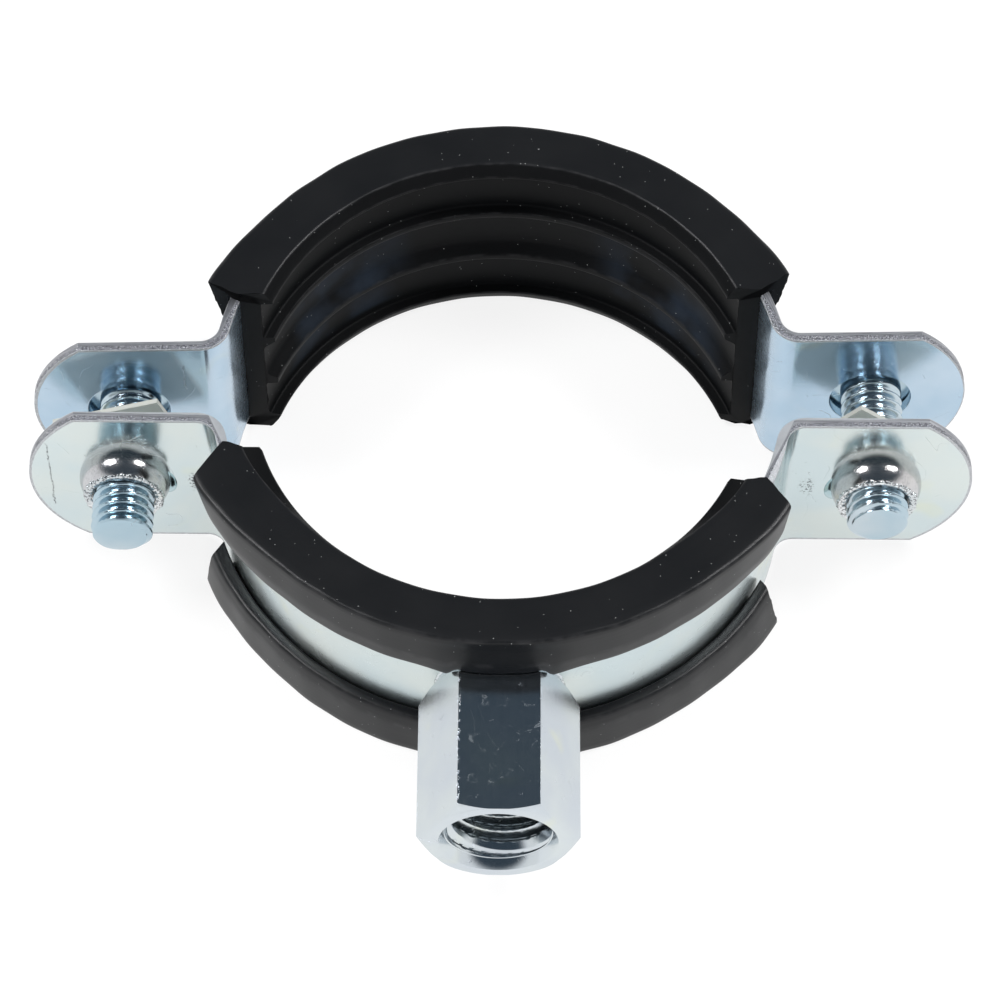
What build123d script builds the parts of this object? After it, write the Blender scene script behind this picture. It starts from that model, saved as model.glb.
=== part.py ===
from build123d import *
import os
from math import asin, cos, degrees, radians, sin, sqrt, tan

# Rubber lined pipe clamp: two steel half rings with ears, a rubber profile slipped on each,
# a hexagon coupling nut welded to the front half and two screws that draw the halves together.
# Millimetres. The origin is the centre of the front half's pipe seat at mid width. The pipe
# runs along Z, the nut points along -Y and the clamp lies flat on the rubber's lower edges.

# --- Rubber profile (its section is drawn as radius against height) ---
seat_radius = 23.6            # crests of the four ribs, before a pipe squeezes them
rib_height = 1.1              # from the floor of the grooves to the crests
liner_wall = 1.85             # from the steel strip to the floor of the grooves
cheek = 1.15                  # rubber beyond each edge of the strip
lip_thickness = 1.35          # rubber that wraps round onto the strip's outer face
lip_reach = 4.9               # how far each lip comes in from the strip's edge
lip_taper_height = 1.8        # the last part of a lip thins towards its tip
lip_taper = 0.2               # by this much
liner_clearance = 0.05        # between rubber and strip, on every side
edge_bevel_width = 0.6        # bevel from the cheek's face down to the edge rib's crest
edge_bevel_height = 1.4
edge_rib_width = 0.3          # flat crest of the two edge ribs
inner_rib_place = 3.9         # outer flank of each inner rib, from mid width
inner_rib_width = 0.75        # flat crest of the two inner ribs
inner_rib_slope = 1.0         # foot of the sloping flank beyond the crest
liner_end_angle = 19.2        # from the parting plane to the rubber's ends
front_liner_slip = 3.5        # the front profile has crept this far round its strip
liner_corner = 0.4            # rounding of the outer edges

# --- Steel strip ---
strip_thickness = 1.0
strip_width = 20.0
bend_radius = 1.9             # inside radius where the ring turns into an ear
ear_corner_x = 40.5           # where the straight edges of an ear end
ear_tip_x = 45.5              # the crown of its round end
ear_offset = 3.25             # from a half's seat centre out to the inner faces of its ears

# --- How far the two halves stand apart ---
seat_separation = 1.57        # rear seat centre from the front one
rear_cant = 1.55              # degrees, because the left screw is further in

# --- Clamping screws, retaining washers and threaded collars ---
screw_x = 36.25
screw_diameter = 6.0
screw_length = 16.0
screw_tip_chamfer = 0.4
head_diameter = 12.0
head_height = 3.0
head_rounding = 2.2
head_clearance = 0.05         # between the head and the high side of a canted ear
slot_width = 1.6
slot_depth = 1.1
cross_width = 1.9
cross_length = 6.4
cross_depth = 1.5
thread_clearance = 0.05       # radial, between a screw and its threaded collar
ear_hole_diameter = 8.0       # clearance hole in the rear ears
collar_height = 2.2
collar_wall = 0.75            # at the rim
collar_flare = 0.35           # radius that blends a collar into the ear's front face
collar_entry = 0.6            # rounding drawn into the hole from the back
retainer_side = 11.0          # square washers that keep the screws in the rear ears
retainer_thickness = 0.5
retainer_gap = 3.1            # in front of each, to the ear with the collar
retainer_clearance = 0.05
left_retainer_turn = 20.0     # degrees about the screw
right_retainer_turn = 50.0
right_retainer_hole = (1.1, 0.85)    # its hole is punched this far off centre

# --- Coupling nut ---
nut_across_flats = 13.0
nut_length = 15.8             # from the strip's outer face to the nut's mouth
nut_mouth_bevel_width = 0.95  # taken off the corners at the mouth
nut_mouth_bevel_height = 0.55
nut_foot_radius = 5.9         # where the foot's bevel meets the strip
nut_foot_bevel_height = 1.6
nut_notch = 0.3               # gap between the nut and the lips cut away for it
weld_clearance = 0.02         # seam between the nut's saddle and the strip
large_thread_diameter = 10.0
large_thread_depth = 7.9
small_thread_diameter = 8.0
nut_foot_countersink = 0.6    # at the strip, where the small thread ends

# --- Worked out from the sizes above ---
groove_radius = seat_radius + rib_height
strip_inner_radius = groove_radius + liner_wall + liner_clearance
strip_outer_radius = strip_inner_radius + strip_thickness
lip_inner_radius = strip_outer_radius + liner_clearance
liner_outer_radius = lip_inner_radius + lip_thickness
pocket_half_height = strip_width / 2 + liner_clearance
liner_half_height = pocket_half_height + cheek
lip_tip_height = strip_width / 2 - lip_reach
nut_corner_radius = nut_across_flats / sqrt(3)
small_thread_radius = small_thread_diameter / 2
screw_radius = screw_diameter / 2
head_radius = head_diameter / 2
cant = radians(rear_cant)

front_half = Plane.XY
rear_half = Plane(
    origin=(0, seat_separation, 0), x_dir=(-cos(cant), -sin(cant), 0), z_dir=(0, 0, 1)
)
sides = {"left": -1, "right": 1}


def edge_on(half, offset=0.0):
    """The plane that looks at a half's ears from outside, offset outwards from its seat centre."""
    outward = -half.y_dir
    return Plane(origin=half.origin + outward * offset, x_dir=half.x_dir, z_dir=outward)


def strip_profile(half):
    """A half ring of strip whose two ends turn outwards into flat ears, seen along the pipe."""
    ear_face = -ear_offset
    with BuildSketch(half) as profile:
        Circle(strip_outer_radius)
        with Locations((0, ear_face - strip_thickness / 2)):
            Rectangle(2 * ear_tip_x, strip_thickness)
        Circle(strip_inner_radius, mode=Mode.SUBTRACT)
        with Locations((0, ear_face)):
            Rectangle(
                2 * ear_tip_x,
                2 * strip_outer_radius,
                align=(Align.CENTER, Align.MIN),
                mode=Mode.SUBTRACT,
            )
        back_line = profile.vertices().group_by(Axis.Y)[-1]
        fillet(back_line.sort_by(lambda v: abs(v.X))[:2], bend_radius + strip_thickness)
        front_line = profile.vertices().filter_by_position(
            Axis.Y, ear_face - strip_thickness - 0.01, ear_face - strip_thickness + 0.01
        )
        fillet(front_line.sort_by(lambda v: abs(v.X))[:2], bend_radius)
    return profile.sketch


def ear_outline(half):
    """Both ears and the ring between them, seen from outside: straight edges, round ends."""
    edge = strip_width / 2
    with BuildSketch(edge_on(half)) as outline:
        with BuildLine():
            Line((-ear_corner_x, edge), (ear_corner_x, edge))
            ThreePointArc((ear_corner_x, edge), (ear_tip_x, 0), (ear_corner_x, -edge))
            Line((ear_corner_x, -edge), (-ear_corner_x, -edge))
            ThreePointArc((-ear_corner_x, -edge), (-ear_tip_x, 0), (-ear_corner_x, edge))
        make_face()
    return outline.sketch


def liner_section():
    """The rubber profile's upper half as (radius, height) points: from mid width on the
    inside, over the ribs and the cheek, round the lip, and back along the strip's pocket."""
    top = liner_half_height
    edge_crest = top - edge_bevel_height
    rib_top = inner_rib_place
    lip_knee = lip_tip_height + lip_taper_height
    return [
        (groove_radius, 0),
        (groove_radius, rib_top - inner_rib_width - inner_rib_slope),
        (seat_radius, rib_top - inner_rib_width),
        (seat_radius, rib_top),
        (groove_radius, rib_top),
        (groove_radius, edge_crest - edge_rib_width),
        (seat_radius, edge_crest - edge_rib_width),
        (seat_radius, edge_crest),
        (seat_radius + edge_bevel_width, top),
        (liner_outer_radius, top),
        (liner_outer_radius, lip_knee),
        (liner_outer_radius - lip_taper, lip_tip_height),
        (lip_inner_radius, lip_tip_height),
        (lip_inner_radius, pocket_half_height),
        (strip_inner_radius - liner_clearance, pocket_half_height),
        (strip_inner_radius - liner_clearance, 0),
    ]


def liner_sketch(half, start_angle):
    """The whole section, standing on the radius at which the rubber starts."""
    angle = radians(start_angle)
    radial = half.x_dir * cos(angle) + half.y_dir * sin(angle)
    upper = liner_section()
    with BuildSketch(Plane(origin=half.origin, x_dir=radial, z_dir=radial.cross(half.z_dir))) as s:
        with BuildLine():
            Polyline(upper, close=True)
        make_face()
        mirror(about=Plane.XZ)
        outer_corners = s.vertices().sort_by(lambda v: v.X).filter_by(
            lambda v: abs(abs(v.Y) - liner_half_height) < 0.01 and v.X > liner_outer_radius - 0.01
        )
        fillet(outer_corners, liner_corner)
    return s.sketch


# --- Steel strips ---
with BuildPart() as front_band:
    extrude(strip_profile(front_half), amount=strip_width / 2, both=True)
    extrude(
        ear_outline(front_half), amount=ear_tip_x, dir=-front_half.y_dir, mode=Mode.INTERSECT
    )
    ear_front = edge_on(front_half, ear_offset + strip_thickness)
    with BuildSketch(ear_front):
        with Locations(*[(side * screw_x, 0) for side in sides.values()]):
            Circle(screw_radius + thread_clearance + collar_wall)
    extrude(amount=collar_height)
    collar_feet = (
        front_band.edges()
        .filter_by(GeomType.CIRCLE)
        .filter_by_position(Axis.Y, ear_front.origin.Y - 0.01, ear_front.origin.Y + 0.01)
        .filter_by(lambda e: e.radius < head_radius)
    )
    fillet(collar_feet, collar_flare)
    with BuildSketch(ear_front.offset(collar_height)):
        with Locations(*[(side * screw_x, 0) for side in sides.values()]):
            Circle(screw_radius + thread_clearance)
    extrude(amount=-(collar_height + strip_thickness), mode=Mode.SUBTRACT)
    hole_entries = (
        front_band.edges()
        .filter_by(GeomType.CIRCLE)
        .filter_by_position(Axis.Y, -ear_offset - 0.01, -ear_offset + 0.01)
        .filter_by(lambda e: e.radius < head_radius)
    )
    fillet(hole_entries, collar_entry)
front_band.part.label = "front_band"

with BuildPart() as rear_band:
    extrude(strip_profile(rear_half), amount=strip_width / 2, both=True)
    extrude(
        ear_outline(rear_half), amount=ear_tip_x, dir=-rear_half.y_dir, mode=Mode.INTERSECT
    )
    with BuildSketch(edge_on(rear_half, ear_offset)):
        with Locations(*[(side * screw_x, 0) for side in sides.values()]):
            Circle(ear_hole_diameter / 2)
    extrude(amount=strip_thickness, mode=Mode.SUBTRACT)
rear_band.part.label = "rear_band"

# --- Rubber profiles ---
liner_span = 180 - 2 * liner_end_angle
nut_plane = Plane(origin=(0, -strip_outer_radius, 0), x_dir=(1, 0, 0), z_dir=(0, -1, 0))
saddle_depth = strip_outer_radius - sqrt(strip_outer_radius**2 - nut_foot_radius**2)

with BuildPart() as front_liner:
    start_angle = 180 + liner_end_angle - front_liner_slip
    pipe_axis = Axis(front_half.origin, front_half.z_dir)
    revolve(liner_sketch(front_half, start_angle), axis=pipe_axis, revolution_arc=liner_span)
    with BuildSketch(nut_plane.offset(-saddle_depth)):
        RegularPolygon(nut_across_flats / 2 + nut_notch, 6, major_radius=False)
    extrude(amount=nut_length, mode=Mode.SUBTRACT)
front_liner.part.label = "front_liner"

with BuildPart() as rear_liner:
    start_angle = 180 + liner_end_angle
    pipe_axis = Axis(rear_half.origin, rear_half.z_dir)
    revolve(liner_sketch(rear_half, start_angle), axis=pipe_axis, revolution_arc=liner_span)
rear_liner.part.label = "rear_liner"

# --- Coupling nut, saddled onto the strip ---
with BuildPart() as coupling_nut:
    with BuildSketch(nut_plane.offset(-saddle_depth)):
        RegularPolygon(nut_across_flats / 2, 6, major_radius=False)
    extrude(amount=nut_length + saddle_depth)
    # The blank is turned at both ends, so its corners run out in a bevel.
    with BuildSketch(Plane(origin=nut_plane.origin, x_dir=(1, 0, 0), z_dir=(0, 0, 1))):
        with BuildLine():
            Polyline(
                [
                    (0, saddle_depth),
                    (nut_foot_radius, saddle_depth),
                    (nut_foot_radius, 0),
                    (nut_corner_radius, -nut_foot_bevel_height),
                    (nut_corner_radius, nut_mouth_bevel_height - nut_length),
                    (nut_corner_radius - nut_mouth_bevel_width, -nut_length),
                    (0, -nut_length),
                ],
                close=True,
            )
        make_face()
    revolve(axis=Axis(nut_plane.origin, nut_plane.z_dir), mode=Mode.INTERSECT)
    with BuildSketch(nut_plane.offset(nut_length)):
        Circle(large_thread_diameter / 2)
    extrude(amount=-large_thread_depth, mode=Mode.SUBTRACT)
    with BuildSketch(nut_plane.offset(nut_length)):
        Circle(small_thread_radius)
    extrude(amount=-(nut_length + saddle_depth), mode=Mode.SUBTRACT)
    with BuildSketch(Plane(origin=nut_plane.origin, x_dir=(1, 0, 0), z_dir=(0, 0, 1))):
        with BuildLine():
            Polyline(
                [
                    (0, saddle_depth),
                    (small_thread_radius + nut_foot_countersink, saddle_depth),
                    (small_thread_radius + nut_foot_countersink, 0),
                    (small_thread_radius, -nut_foot_countersink),
                    (0, -nut_foot_countersink),
                ],
                close=True,
            )
        make_face()
    revolve(axis=Axis(nut_plane.origin, nut_plane.z_dir), mode=Mode.SUBTRACT)
    with BuildSketch(front_half.offset(-strip_width / 2)):
        Circle(strip_outer_radius + weld_clearance)
    extrude(amount=strip_width, mode=Mode.SUBTRACT)
coupling_nut.part.label = "coupling_nut"

# --- Screws and their retaining washers ---
ear_back = seat_separation + ear_offset + strip_thickness
retainer_turns = {"left": left_retainer_turn, "right": right_retainer_turn}
retainer_holes = {"left": (0.0, 0.0), "right": right_retainer_hole}
screws = {}
retainers = {}
for name, side in sides.items():
    # The head stands on the high side of the canted ear, and the shank runs towards -Y.
    seat_y = ear_back + side * screw_x * tan(cant) + head_radius * tan(cant) + head_clearance
    head_seat = Plane(origin=(side * screw_x, seat_y, 0), x_dir=(1, 0, 0), z_dir=(0, -1, 0))
    with BuildPart() as screw:
        with BuildSketch(head_seat):
            Circle(screw_radius)
        extrude(amount=screw_length)
        chamfer(screw.edges().group_by(Axis.Y)[0], screw_tip_chamfer)
        with BuildSketch(head_seat):
            Circle(head_radius)
        extrude(amount=-head_height)
        fillet(screw.edges().group_by(Axis.Y)[-1], head_rounding)
        with BuildSketch(head_seat.offset(-head_height)):
            Rectangle(head_diameter, slot_width)
        extrude(amount=slot_depth, mode=Mode.SUBTRACT)
        with BuildSketch(head_seat.offset(-head_height)):
            Rectangle(cross_width, cross_length)
            Rectangle(cross_length, cross_width)
        extrude(amount=cross_depth, mode=Mode.SUBTRACT)
    screw.part.label = name + "_screw"
    screws[name] = screw

    retainer_face = Plane(
        origin=(side * screw_x, retainer_gap - ear_offset, 0), x_dir=(1, 0, 0), z_dir=(0, -1, 0)
    )
    with BuildPart() as retainer:
        with BuildSketch(retainer_face):
            with Locations((-retainer_holes[name][0], -retainer_holes[name][1])):
                Rectangle(retainer_side, retainer_side, rotation=retainer_turns[name])
            Circle(screw_radius + retainer_clearance, mode=Mode.SUBTRACT)
        extrude(amount=-retainer_thickness)
    retainer.part.label = name + "_retaining_washer"
    retainers[name] = retainer

# --- One STEP file for each piece ---
os.makedirs("parts", exist_ok=True)
pieces = [front_band, rear_band, front_liner, rear_liner, coupling_nut]
for piece in [*pieces, *screws.values(), *retainers.values()]:
    export_step(piece.part, f"parts/{piece.part.label}.step")

bend_start = degrees(asin((ear_offset + strip_thickness + bend_radius) / (strip_outer_radius + bend_radius)))
print(f"ring turns into ears {bend_start:.1f} degrees from the parting plane")
print(f"rubber ends {liner_end_angle - front_liner_slip:.1f} degrees from it or further")
print(f"rubber from radius {seat_radius:.2f} to {liner_outer_radius:.2f}, height {2 * liner_half_height:.2f}")
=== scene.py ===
# %% [markdown]
# # Dressing a rubber lined pipe clamp
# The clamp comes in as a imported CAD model: two steel half rings with ears, a rubber profile on
# each, a hexagon coupling nut and two screws with square retaining washers. The CAD has every
# size right, but its screws are smooth and its rubber ends are square. These cells put on
# what a hand and an eye find on the real thing: rolled threads, the burr left by an extruded
# collar, rubber that springs open at its cut ends, and finishes that react to light.

# %% Load the frame
import bpy
import bmesh
from math import cos, pi, radians, sin, sqrt
import numpy as np
from mathutils import Matrix, Vector


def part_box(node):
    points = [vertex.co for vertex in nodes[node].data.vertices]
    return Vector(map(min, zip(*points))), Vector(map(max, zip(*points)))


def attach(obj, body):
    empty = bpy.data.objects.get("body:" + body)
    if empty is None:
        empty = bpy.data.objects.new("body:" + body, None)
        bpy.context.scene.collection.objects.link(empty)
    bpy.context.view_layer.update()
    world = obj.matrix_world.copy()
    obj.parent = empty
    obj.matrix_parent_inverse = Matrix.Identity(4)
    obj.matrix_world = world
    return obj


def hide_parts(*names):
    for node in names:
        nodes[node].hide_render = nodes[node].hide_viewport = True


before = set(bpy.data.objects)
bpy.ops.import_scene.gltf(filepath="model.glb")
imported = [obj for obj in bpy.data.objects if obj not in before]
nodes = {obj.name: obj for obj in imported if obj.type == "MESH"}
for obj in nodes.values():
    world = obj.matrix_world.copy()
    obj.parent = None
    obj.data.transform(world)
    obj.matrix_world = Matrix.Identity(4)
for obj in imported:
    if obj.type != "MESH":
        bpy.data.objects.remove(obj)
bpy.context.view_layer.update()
mm = 0.001
seat, strip_in, strip_out = 23.6, 26.6, 27.6       # radii of the ribs' crests and of the strip
rubber_out, rubber_top, lip_tip = 29.0, 11.2, 5.1
rear_shift, rear_cant = 1.57, 1.55                 # the rear half's seat centre, and its tilt
ear_inside, ear_front = 3.25, -4.25                # an ear's faces, from the parting plane
bend_along, bend_away = 28.85, 6.15                # centre of the bend from ring to ear
screw_x, nut_mouth = 36.25, -43.4
print("nodes:", ", ".join(sorted(nodes)))

# %% [markdown]
# ## The camera
# A product picture of a small part is taken from half a metre away with a long lens, which keeps
# the ring round. The camera here stands well above the clamp and looks down at it, turned
# slightly about its own axis. The turn is written as a matrix, because its three columns are
# simply the camera's right, its up and the direction from the subject back to it.

# %% The camera
def look(azimuth, elevation, roll):
    """Camera axes as matrix columns: back points from subject to camera, right is level, and up
    is back cross right. The roll then turns right and up about back."""
    a, e, r = radians(azimuth), radians(elevation), radians(roll)
    back = Vector((sin(a) * cos(e), -cos(a) * cos(e), sin(e)))
    level = Vector((cos(a), sin(a), 0))
    high = back.cross(level)
    right = level * cos(r) + high * sin(r)
    up = high * cos(r) - level * sin(r)
    return right, up, back


right, up, back = look(-0.269, 57.367, 0.708)
aim = Vector((0, -2.309 * mm, 0)) - right * 0.082 * mm - up * 3.417 * mm
eye = aim + back * 369.371 * mm
camera = bpy.data.objects.new("camera", bpy.data.cameras.new("camera"))
camera.data.sensor_width = 36
camera.data.lens = 36 * 3.8121
camera.data.clip_start, camera.data.clip_end = 0.01, 20
camera.matrix_world = Matrix(
    [[right[i], up[i], back[i], eye[i]] for i in range(3)] + [[0, 0, 0, 1]]
)
bpy.context.scene.collection.objects.link(camera)
bpy.context.scene.camera = camera
print("camera at", [round(c / mm, 1) for c in eye], "mm, lens", camera.data.lens, "mm")

# %% [markdown]
# ## From arrays to pieces
# A surface with two parameters is a grid of points. Once the points are in an array, the faces
# follow from counting alone, so two helpers serve every new piece: one lists the faces of
# a grid, the other puts points and faces into a mesh and lets it ride on a body.

# %% Grid faces and pieces
def grid_faces(rows, columns, wrap_rows=False, wrap_columns=True):
    """Quads of a grid whose point (i, j) has the index i * columns + j. A wrapped direction
    joins its last line of points to its first."""
    i = np.arange(rows if wrap_rows else rows - 1)[:, None]
    j = np.arange(columns if wrap_columns else columns - 1)[None, :]
    i2, j2 = (i + 1) % rows, (j + 1) % columns
    corners = [i * columns + j, i * columns + j2, i2 * columns + j2, i2 * columns + j]
    return np.stack(np.broadcast_arrays(*corners), -1).reshape(-1, 4)


def finish_piece(piece, body, sharp=32.0):
    """Shades smooth except across edges sharper than the angle, and lets the piece ride."""
    piece.data.shade_smooth()
    piece.data.set_sharp_from_angle(angle=radians(sharp))
    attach(piece, body)
    return piece


def outward(mesh):
    """Turns every face of a closed mesh outwards."""
    shell = bmesh.new()
    shell.from_mesh(mesh)
    bmesh.ops.recalc_face_normals(shell, faces=shell.faces)
    shell.to_mesh(mesh)
    shell.free()


def new_piece(name, points, faces, body, sharp=32.0, closed=True):
    """A mesh object at the origin from points in metres, facing outwards where it is closed."""
    mesh = bpy.data.meshes.new(name)
    mesh.from_pydata(np.asarray(points, float).reshape(-1, 3).tolist(), [], faces)
    if closed:
        outward(mesh)
    piece = bpy.data.objects.new(name, mesh)
    bpy.context.scene.collection.objects.link(piece)
    finish_piece(piece, body, sharp)
    print(f"{name}: {len(mesh.vertices)} points, {len(mesh.polygons)} faces")
    return piece


def paint(piece, name, values):
    """Keeps one number for each point of the mesh, for a material to read by name."""
    layer = piece.data.attributes.new(name, "FLOAT", "POINT")
    layer.data.foreach_set("value", np.asarray(values, np.float32).ravel())


def ripple(*phases):
    """A smooth wandering number from -1 to 1: the mean of sines of unrelated phases."""
    return sum(np.sin(p) for p in phases) / len(phases)


# %% [markdown]
# ## The rubber profiles
# The lining is an extrusion: one section, squeezed out by the metre, cut to length and
# pressed over the strip. A section carried along a path is the natural way to make it. The
# corners of a rubber die are never sharp, so each corner of the section becomes a short curve.
# Where the profile is cut off, nothing holds its lips any more, and they spring open.

# %% The section of the rubber
upper_section = np.array([
    # radius, height, rounding
    (24.70, 2.15, 0.35), (23.60, 3.15, 0.22), (23.60, 3.90, 0.18), (24.70, 3.90, 0.25),
    (24.70, 9.50, 0.25), (23.60, 9.50, 0.12), (23.60, 9.80, 0.14), (24.20, 11.2, 0.22),
    (29.00, 11.2, 0.38), (29.00, 6.90, 0.60), (28.80, 5.10, 0.35), (27.65, 5.10, 0.30),
    (27.65, 10.05, 0.15), (26.55, 10.05, 0.15),
])


def closed_section(upper, steps=4, spacing=0.8):
    """The section and its mirror image as one ring of points. Each corner is a parabola from
    one side to the other: (1-t)^2 A + 2 t (1-t) B + t^2 C, where B is the corner and A and C
    lie on the sides, a rounding's length from it. Long sides get more points, evenly spaced.
    Also returns how far each point is round an outward corner, from 0 on the flats to 1."""
    lower = upper[::-1] * (1, -1, 1)
    corners = np.vstack([upper, lower])
    b, rounding = corners[:, :2], corners[:, 2:]
    before, after = np.roll(b, 1, 0) - b, np.roll(b, -1, 0) - b
    before_length = np.linalg.norm(before, axis=1, keepdims=True)
    after_length = np.linalg.norm(after, axis=1, keepdims=True)
    a = b + before / before_length * np.minimum(rounding, before_length * 0.45)
    c = b + after / after_length * np.minimum(rounding, after_length * 0.45)
    t = np.linspace(0, 1, steps)[None, :, None]
    curve = (1 - t) ** 2 * a[:, None] + 2 * t * (1 - t) * b[:, None] + t**2 * c[:, None]
    turn = before[:, 0] * after[:, 1] - before[:, 1] * after[:, 0]
    crown = np.where(turn[:, None] > 0, np.sin(pi * t[..., 0]), 0)
    points, crown = curve.reshape(-1, 2), crown.reshape(-1)
    step = np.linalg.norm(np.roll(points, -1, 0) - points, axis=1)
    inserts = np.maximum(np.ceil(step / spacing).astype(int), 1)
    owner = np.repeat(np.arange(len(points)), inserts)
    share = (np.arange(len(owner)) - (np.cumsum(inserts) - inserts)[owner]) / inserts[owner]
    nxt = (owner + 1) % len(points)
    fine = points[owner] * (1 - share[:, None]) + points[nxt] * share[:, None]
    return fine, crown[owner] * (1 - share) + crown[nxt] * share


section, crown = closed_section(upper_section)
edge_lengths = np.linalg.norm(np.roll(section, -1, 0) - section, axis=1)
girth = np.cumsum(edge_lengths) - edge_lengths
print(f"section: {len(section)} points round {edge_lengths.sum():.1f} mm of outline")

# %% [markdown]
# The cut ends are the part that tells rubber from plastic. A blade went through while the lips
# were squeezed against the strip, so once they spring back their ends lie further in and further
# out than the rest. Each cut is therefore given at four heights of the outer skin and at the
# ribs, and everything between follows by interpolation. Over the coupling nut the lips can't
# close, so they ride up on the nut's flat and bulge.

# %% The profile carried round the ring
def rubber_profile(name, body, centre, first, last, node, nut=False, rows=250):
    """Carries the section round the centre from one cut to the other. Each cut is a dict:
    angle (degrees) at the strip; pull (degrees) and flare (mm) of the outer skin at the heights
    -11.2, -5.1, 5.1 and 11.2; inner (degrees) at the ribs; widen (mm) of the inner bevel; tilt
    (degrees) from the lower edge to the upper; ragged (degrees), the blade's tremor."""
    r, z = section[:, 0], section[:, 1]
    heights = (-rubber_top, -lip_tip, lip_tip, rubber_top)
    outer = np.clip((r - 26.3) / (rubber_out - 26.3), 0, 1) ** 1.2
    inner = np.clip((26.3 - r) / (26.3 - seat), 0, 1) ** 0.8
    cuts = [
        cut["angle"] + cut["inner"] * inner + np.interp(z, heights, cut["pull"]) * outer
        + cut.get("tilt", 0) * z / (2 * rubber_top)
        + cut["ragged"] * ripple(z * 2.1 + r, z * 5.3 + r * 3, r * 4.7) * np.where(z < -4, 1, 0.3)
        for cut in (first, last)
    ]
    s = np.linspace(0, 1, rows)[:, None]
    s = s - 0.09 * np.sin(2 * pi * s)
    angle = np.radians(cuts[0] * (1 - s) + cuts[1] * s)
    radius, height = np.tile(r, (rows, 1)), np.tile(z, (rows, 1))
    for cut, ends in zip((first, last), cuts):
        away = np.abs(angle - np.radians(ends)) * rubber_out / cut["reach"]
        opening = np.exp(-(away**1.6))
        radius += np.interp(z, heights, cut["flare"]) * outer * opening
        radius += cut["widen"] * opening * (np.abs(z) > 10.9) * np.clip((27.9 - r) / 3.6, 0, 1)
    skin = np.clip((r - 25.2) / (rubber_out - 25.2), 0, 1)
    radius += 0.05 * ripple(angle * 9 + 1, angle * 23 + z * 0.3, angle * 41) * skin
    height += 0.05 * ripple(angle * 13, angle * 29 + 2) * (np.abs(z) > 10.2)
    if nut:
        radius, height = ride_over_nut(angle, radius, height)
    x, y = centre[0] + radius * np.cos(angle), centre[1] + radius * np.sin(angle)
    count = len(section)
    faces = grid_faces(rows, count).tolist()
    faces += [list(range(count))[::-1], list(range((rows - 1) * count, rows * count))]
    piece = new_piece(name, np.stack([x, y, height], -1) * mm, faces, body, 50)
    paint(piece, "along", angle * rubber_out * mm)
    paint(piece, "round", np.tile(girth * mm, (rows, 1)))
    paint(piece, "crown", np.tile(crown, (rows, 1)))
    # The bore's side and the two cuts are duller than the rest, and their colour is painted darker
    # as shade: they are marked material 1.
    dull_and_shaded = np.tile((r < 24.9) & (np.abs(z) < 11.1), (rows - 1, 1)).ravel()
    dull_and_shaded = np.append(dull_and_shaded, [True, True]).astype(np.int32)
    piece.data.polygons.foreach_set("material_index", dull_and_shaded)
    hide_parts(node)
    return piece


def ride_over_nut(angle, radius, height):
    """Lifts the lips over the hexagon nut. The lip's tip follows the nut's outline plus a gap,
    which is the flat at 6.56 mm and then 1.73 mm down for each mm sideways; its cheek stays.
    Where it is lifted it also bulges by up to 0.78 mm."""
    sideways = np.abs(radius * np.cos(angle))
    front = np.sin(angle) < 0
    outline = np.minimum(6.56, (7.72 - sideways) * sqrt(3))
    lift = np.maximum(np.where(front, outline, 0) - lip_tip, 0)
    low = np.clip((10.0 - np.abs(height)) / (10.0 - lip_tip), 0, 1)
    on_lip = radius > strip_out + 0.02
    bulge = 0.78 * np.exp(-((sideways / 5.6) ** 4)) * low * on_lip * front
    return radius + bulge, height + np.sign(height) * lift * low * on_lip


front_rubber = rubber_profile(
    "front_rubber_profile", "front_half", (0.0, 0.0),
    dict(angle=195.2, inner=3.1, pull=(2.2, 4.1, 12.5, 6.2), flare=(1.1, 0.7, 1.0, 1.9),
         widen=1.3, reach=7.5, ragged=0.3),
    dict(angle=336.7, inner=-3.0, pull=(-2.6, -4.1, -5.2, -4.0), flare=(1.3, 0.3, 0.9, 1.4),
         widen=1.1, reach=7.5, ragged=0.3),
    "front_liner", nut=True,
)
rear_rubber = rubber_profile(
    "rear_rubber_profile", "rear_half", (0.0, rear_shift),
    dict(angle=19.5, tilt=1.6, inner=2.9, pull=(1.0, 2.0, 4.0, 1.8), flare=(0.8, 0.4, 0.6, 1.0),
         widen=0.15, reach=6.0, ragged=0.9),
    dict(angle=162.3, inner=-2.5, pull=(0.6, -1.0, -2.7, -1.2), flare=(0.5, 0.2, 0.3, 1.05),
         widen=0.15, reach=6.0, ragged=0.9),
    "rear_liner",
)

# %% [markdown]
# ## Steel with real edges
# The strips, the nut and the washers already have the right form in the CAD model, down to
# the bends and the collars. What they lack is the fine rounding of their edges, which is where
# metal catches the light. A merged copy of each mesh is bevelled by less than a tenth of a
# millimetre. On the strips each point also keeps how deep it lies in the sheet, because a
# sheared edge looks smeared on one side and torn on the other.

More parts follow.
